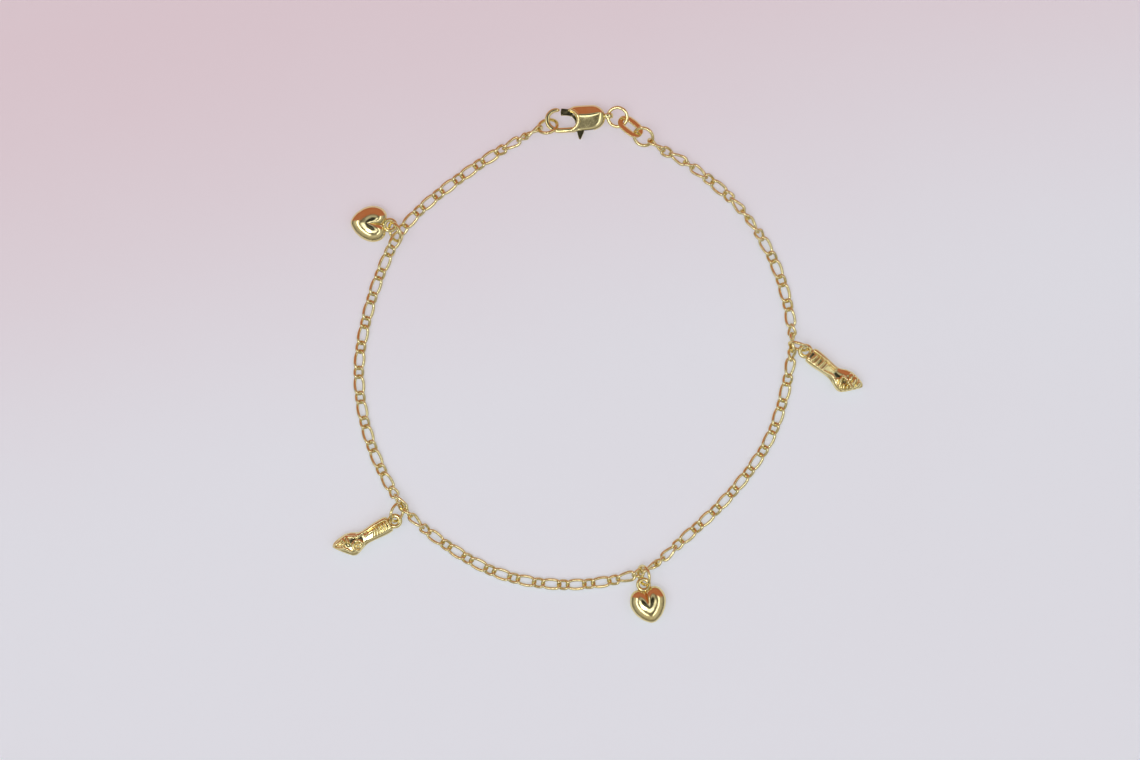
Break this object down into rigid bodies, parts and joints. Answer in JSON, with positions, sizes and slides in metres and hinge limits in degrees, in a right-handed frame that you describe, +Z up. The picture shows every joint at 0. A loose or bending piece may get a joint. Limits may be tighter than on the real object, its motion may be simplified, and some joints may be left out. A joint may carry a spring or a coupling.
{
  "type": "charm bracelet",
  "caption": "Fine gold figaro chain bracelet with a lobster clasp, puffed heart charms and figa hand charms on jump rings.",
  "frame": {"origin": "middle of the loop's bounding box, at the height of the surface that the bracelet lies on", "axes": "+Z up off the surface, +Y towards the clasp, +X to the right seen from above"},
  "size_m": [0.0762, 0.0752, 0.0032],
  "materials": {
    "chain_gold": "polished",
    "clasp_gold": "polished",
    "charm_gold": "polished",
    "ring_gold": "polished"
  },
  "bodies": {
    "bracelet": {"figaro_chain_left": "chain_gold", "figaro_chain_right": "chain_gold", "clasp_body": "clasp_gold", "connector_tab": "clasp_gold", "heart_left": "charm_gold", "heart_bottom": "charm_gold", "hand_left": "charm_gold", "hand_right": "charm_gold", "clasp_ring": "ring_gold", "tail_ring": "ring_gold", "end_ring": "ring_gold", "heart_left_ring": "ring_gold", "hand_left_ring": "ring_gold", "heart_bottom_ring": "ring_gold", "hand_right_ring": "ring_gold"},
    "lever": {"clasp_lever": "clasp_gold"}
  },
  "joints": [
    {"name": "lever_hinge", "type": "hinge", "parent": "bracelet", "child": "lever", "pos_m": [-0.00332, 0.03645, 0.0011], "axis": [0, 0, 1], "range_deg": [0, 30], "stiffness_Nm_per_rad": 0.002}
  ]
}
